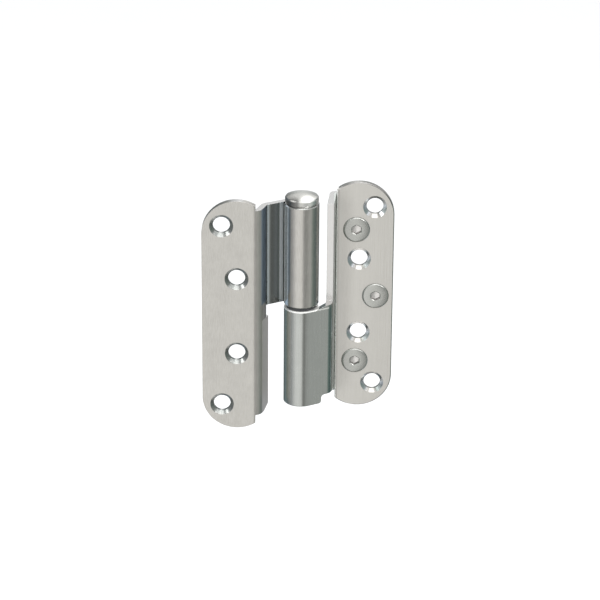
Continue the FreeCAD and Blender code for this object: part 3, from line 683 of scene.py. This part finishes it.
# %% [markdown]
# ## A studio for metal
#
# Metal shows its surroundings, so the studio is made of what the hinge should mirror. A pale floor and a
# pale world are what the camera sees behind the hinge, and what its upward faces mirror. They alone would
# leave a zinc barrel with no shape at all, since it would be white from side to side.

# %% Floor
FLOOR_DROP = 0.30
FLOOR_SIZE = 12
FLOOR_COLOUR = (0.95, 0.95, 0.95)
FLOOR_FINENESS = 6.0
FLOOR_SHADE = 0.98  # of its brightness, where the paint is darkest


def floor_material(name, colour, roughness):
    """Matt paint with a very faint unevenness."""
    material, tree = new_material(name, empty=False)
    shader = tree.nodes["Principled BSDF"]
    shader.inputs["Roughness"].default_value = roughness
    grain = noise_along(tree, place_on(tree), EVENLY, FLOOR_FINENESS)
    paint = ramp(tree, grain, [(0.0, [c * FLOOR_SHADE for c in colour]), (1.0, colour)])
    link(tree, paint, shader.inputs["Base Color"])
    return material


def flat_card(name, width, height, centre, facing, material, seen=False):
    """A rectangle of the stage, turned to face a direction."""
    mesh = bmesh.new()
    corners = ((-1, -1), (1, -1), (1, 1), (-1, 1))
    mesh.faces.new([mesh.verts.new((x * width / 2, y * height / 2, 0)) for x, y in corners])
    card = new_object(name, mesh)
    card.rotation_euler = Vector(facing).to_track_quat("Z", "Y").to_euler()
    card.location = centre
    card.visible_camera = seen
    card.data.materials.append(material)
    card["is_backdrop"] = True
    return card


floor_paint = floor_material("studio_floor", FLOOR_COLOUR, roughness=0.8)
flat_card("studio_floor", FLOOR_SIZE, FLOOR_SIZE, (0, 0, -FLOOR_DROP), (0, 0, 1), floor_paint, seen=True)
print("floor", FLOOR_DROP, "m below the hinge's middle")

# %% World
BACKDROP_COLOUR = (1, 1, 1, 1)  # where it is seen or mirrored
AIR_COLOUR = (0.98, 0.99, 1.0, 1)  # as light on the pieces, a little blue
world = bpy.data.worlds.new("studio_air")
bpy.context.scene.world = world
world.use_nodes = True
tree = world.node_tree
tree.nodes.clear()
paths = tree.nodes.new("ShaderNodeLightPath").outputs
seen_directly = computed(tree, "MAXIMUM", paths["Is Camera Ray"], paths["Is Glossy Ray"])
air = node(tree, "ShaderNodeBackground", Color=AIR_COLOUR, Strength=1.0)
backdrop = node(tree, "ShaderNodeBackground", Color=BACKDROP_COLOUR, Strength=1.0)
either = tree.nodes.new("ShaderNodeMixShader")
link(tree, seen_directly, either.inputs[0])
link(tree, air.outputs[0], either.inputs[1])
link(tree, backdrop.outputs[0], either.inputs[2])
link(tree, either.outputs[0], tree.nodes.new("ShaderNodeOutputWorld").inputs[0])
print("world", world.name, "with", len(tree.nodes), "nodes")

# %% [markdown]
# ## A ring of painted card
#
# Photographers stand white and grey cards round a metal part to draw its roundness. A row of single cards
# could do that here, but their edges would show as hard lines on the barrels. So one ring of card runs all
# the way round, painted in soft bands, with a disc of the same paint under it. A round barrel turns every
# direction of the ring into one upright stripe: bright from in front and a little to the left, dark from
# both sides, and a lesser light from the right. Only mirroring rays see the ring.

# %% The ring's bands
# Each band: degrees from straight in front towards the frame side, then how bright and what colour
BANDS = [
    (-180, 0.90, (0.98, 1.00, 1.00)),
    (-168, 0.42, (0.95, 1.00, 1.00)),
    (-152, 0.16, (0.90, 1.00, 1.00)),
    (-130, 0.30, (0.80, 1.00, 1.15)),
    (-115, 0.46, (0.84, 1.00, 1.16)),
    (-96, 0.29, (0.88, 1.00, 1.10)),
    (-82, 0.30, (0.94, 1.00, 1.06)),
    (-68, 0.41, (0.98, 1.00, 1.02)),
    (-60, 0.50, (0.98, 1.00, 1.02)),
    (-46, 0.76, (1.00, 1.00, 1.00)),
    (-38, 0.91, (1.00, 1.00, 0.99)),
    (-30, 0.99, (1.00, 1.00, 0.99)),
    (-20, 1.02, (1.00, 1.00, 0.99)),
    (-9, 0.97, (1.00, 1.00, 0.99)),
    (-3, 1.00, (1.00, 1.00, 0.98)),
    (6, 0.98, (1.00, 1.00, 0.98)),
    (9, 0.74, (1.00, 1.00, 0.98)),
    (14, 0.45, (1.00, 1.00, 0.98)),
    (21, 0.42, (0.98, 1.00, 0.98)),
    (28, 0.36, (0.98, 1.00, 0.97)),
    (38, 0.43, (0.98, 1.00, 0.97)),
    (49, 0.50, (0.98, 1.00, 0.97)),
    (60, 0.58, (0.98, 1.00, 0.97)),
    (71, 0.43, (0.93, 1.00, 0.95)),
    (82, 0.28, (0.80, 1.00, 0.92)),
    (98, 0.20, (0.80, 1.00, 0.95)),
    (110, 0.18, (0.82, 1.00, 1.00)),
    (121, 0.22, (0.85, 1.00, 1.05)),
    (136, 0.37, (0.98, 1.00, 1.06)),
    (152, 0.44, (1.03, 1.00, 1.02)),
    (168, 0.42, (0.95, 1.00, 1.00)),
    (180, 0.90, (0.98, 1.00, 1.00)),
]
print(len(BANDS), "bands round the ring")

# %% Paint that glows only in the metal
BAND_STRENGTH = 2.0  # the bands are painted at half their brightness, and the glow doubles them


def glow(tree, colour, strength):
    """Makes a material shine by itself in that colour, which is an output or a plain colour."""
    light = node(tree, "ShaderNodeEmission", Strength=strength)
    feed(tree, colour, light.inputs["Color"])
    link(tree, light.outputs[0], tree.nodes.new("ShaderNodeOutputMaterial").inputs[0])


def ring_paint():
    """Paint that changes with the direction round the ring."""
    material, tree = new_material("ring_paint")
    spot = parts_of(tree, place_on(tree))
    angle = computed(tree, "ARCTAN2", spot["X"], computed(tree, "MULTIPLY", spot["Y"], -1.0))
    turn = ranged(tree, angle, -math.pi, math.pi)
    stops = []
    for degrees, level, tint in BANDS:
        stops.append(((degrees + 180) / 360, [level * c / BAND_STRENGTH for c in tint]))
    glow(tree, ramp(tree, turn, stops), BAND_STRENGTH)
    return material


def only_in_metal(obj):
    """Keeps a stage piece out of everything but reflections."""
    obj.visible_camera = False
    obj.visible_diffuse = False
    obj.visible_shadow = False
    obj.visible_transmission = False


print("paint doubled by", BAND_STRENGTH)

# %% Build the ring
RING_RADIUS = 0.6
RING_TOP = 0.33
RING_FOOT = -FLOOR_DROP + 0.005  # just above the floor
RING_STEPS = 96
mesh = bmesh.new()
middle = mesh.verts.new((0, 0, RING_FOOT))
low_row, high_row = [], []
for step in range(RING_STEPS):
    turn = 2 * math.pi * step / RING_STEPS
    x, y = RING_RADIUS * math.sin(turn), -RING_RADIUS * math.cos(turn)
    low_row.append(mesh.verts.new((x, y, RING_FOOT)))
    high_row.append(mesh.verts.new((x, y, RING_TOP)))
for step in range(RING_STEPS):
    after = (step + 1) % RING_STEPS
    mesh.faces.new((low_row[step], high_row[step], high_row[after], low_row[after]))
    mesh.faces.new((middle, low_row[step], low_row[after]))
ring = new_object("card_ring", mesh)
ring.data.materials.append(ring_paint())
ring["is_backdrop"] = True
only_in_metal(ring)
print("ring of", len(ring.data.polygons), "cards")

# %% [markdown]
# ## Lamps above the ring
#
# Faces that slope upwards mirror what is above the ring: the countersinks' lower halves, the slopes round
# the screw heads and the domed cap. Soft boxes above the front, the left, the right and the back give them
# their highlights. Small boxes would leave hard white spots in the countersinks, so these are large and
# dim. One grey card high on the left keeps that side of the dome darker, which shows its curve.

# %% Soft lamps
# Each lamp: its place in metres, the side of its square box in metres, and its power in watts
LAMPS = {
    "top_soft": ((0.05, -0.42, 1.0), 0.8, 3),
    "left_soft": ((-0.86, -0.32, 0.56), 0.55, 2.5),
    "rear_soft": ((0.24, 0.42, 0.85), 0.55, 2),
    "right_soft": ((0.68, -0.7, 0.66), 0.35, 1.5),
}


def soft_lamp(name, spot, size, power):
    """A square soft box aimed at the hinge."""
    lamp = bpy.data.lights.new(name, "AREA")
    lamp.shape = "SQUARE"
    lamp.size = size
    lamp.energy = power
    box = bpy.data.objects.new(name, lamp)
    box.location = spot
    box.rotation_euler = (-Vector(spot)).to_track_quat("-Z", "Y").to_euler()
    box.visible_camera = False
    bpy.context.collection.objects.link(box)
    print(name, power, "W")


for name, (spot, size, power) in LAMPS.items():
    soft_lamp(name, spot, size, power)

# %% The grey card
CARD_SIZE = 1.3
CARD_PLACE = (-0.62, 0.2, 1.05)
CARD_GREY = (0.4, 0.4, 0.4, 1)
card_paint, tree = new_material("grey_card")
glow(tree, CARD_GREY, 1.0)
grey_card = flat_card("grey_card", CARD_SIZE, CARD_SIZE, CARD_PLACE, -Vector(CARD_PLACE), card_paint)
only_in_metal(grey_card)
print("grey card", CARD_SIZE, "m wide")

# %% [markdown]
# ## The camera
#
# The photograph shows the hinge from in front and a good way above, and its uprights stay parallel, as with
# a camera whose front is raised. Such a camera was fitted to the outlines and holes first, but it would
# need a large shift here. So this one has a long lens and no shift, and it was fitted to where the first
# one puts the hinge's edges, with the hinge's own sizes held fixed.

# %% Camera
FOCAL_PIXELS = 2670.2
PICTURE_PIXELS = 600
SENSOR_WIDTH = 36  # mm
EYE = Vector((0.0129, -1.1001, 0.4806))
YAW, PITCH, ROLL = math.radians(-0.70), math.radians(23.44), math.radians(0.43)
lens = bpy.data.cameras.new("camera")
lens.sensor_width = SENSOR_WIDTH
lens.lens = FOCAL_PIXELS / PICTURE_PIXELS * SENSOR_WIDTH
lens.clip_start, lens.clip_end = 0.05, 50
ahead = Vector((math.sin(YAW) * math.cos(PITCH), math.cos(YAW) * math.cos(PITCH), -math.sin(PITCH)))
level = Vector((math.cos(YAW), -math.sin(YAW), 0))
upward = level.cross(ahead)
right = math.cos(ROLL) * level + math.sin(ROLL) * upward
top = -math.sin(ROLL) * level + math.cos(ROLL) * upward
camera = bpy.data.objects.new("camera", lens)
camera.matrix_world = Matrix.Translation(EYE) @ Matrix((right, top, -ahead)).transposed().to_4x4()
bpy.context.collection.objects.link(camera)
bpy.context.scene.camera = camera
bpy.context.scene.view_settings.view_transform = "Standard"
print("lens", round(lens.lens, 1), "mm")

# %% [markdown]
# ## Printing both sizes
#
# The dressed hinge should be exactly as large as the imported model. Both boxes are kept for comparison.

# %% Keep both boxes and finish
visual_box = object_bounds()
for title, (low, high) in (("packed", cad_box), ("dressed", visual_box)):
    print(title, "size in mm:", [round((b - a) / MM, 1) for a, b in zip(low, high)])
